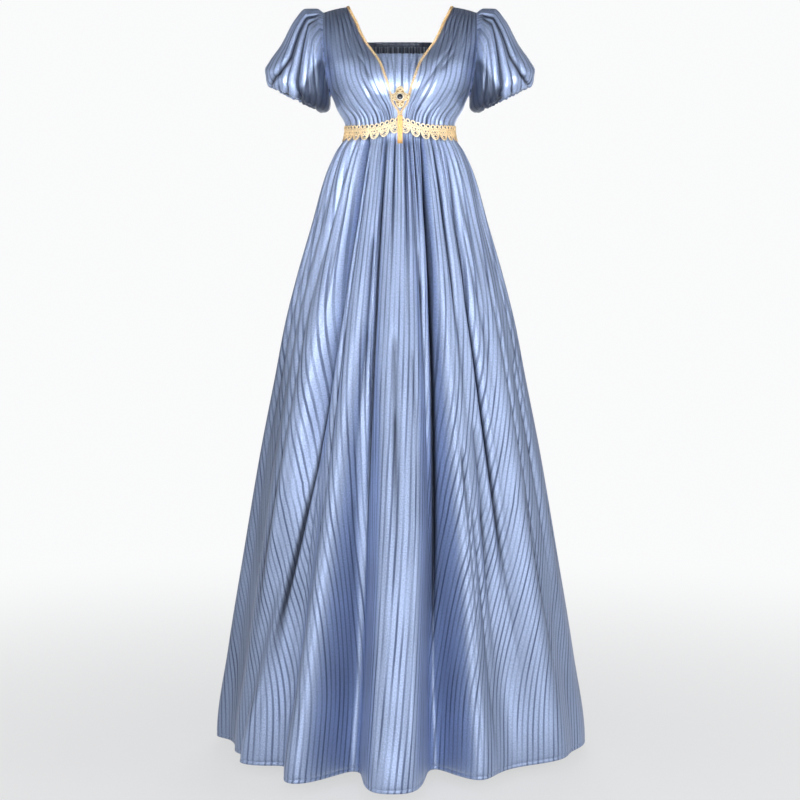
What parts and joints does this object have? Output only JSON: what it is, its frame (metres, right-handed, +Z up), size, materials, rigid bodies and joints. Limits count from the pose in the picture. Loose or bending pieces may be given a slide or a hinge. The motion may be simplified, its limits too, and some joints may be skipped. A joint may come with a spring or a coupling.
{
  "type": "regency gown",
  "caption": "Floor-length empire-line gown in striped satin with short puff sleeves, a deep V neck with an inset, a gold lace belt and a brooch with a hanging ribbon tab.",
  "frame": {"origin": "midway between the neck ends of the two shoulder seams, where the wearer's shoulders hold it up", "axes": "+Z up, the front faces -Y, +X is the wearer's left"},
  "size_m": [0.766, 0.8101, 1.5027],
  "materials": {
    "satin": "dusty steel blue satin with a tonal shadow stripe",
    "lace": "pale gold guipure lace",
    "braid": "narrow gold picot braid",
    "gilt": "bright gilt metal",
    "stone": "polished black stone",
    "ribbon": "orange-gold satin ribbon"
  },
  "bodies": {
    "root": {"bodice_front_left": "satin", "bodice_front_right": "satin", "modesty_panel": "satin", "bodice_back": "satin", "back_neck_band": "satin", "sleeve_left": "satin", "sleeve_right": "satin", "skirt_front": "satin", "skirt_back": "satin", "belt_front": "lace", "belt_back": "lace", "neck_trim_left": "braid", "neck_trim_right": "braid", "brooch": "gilt", "brooch_gem": "stone", "drop_tab": "ribbon"}
  },
  "joints": []
}
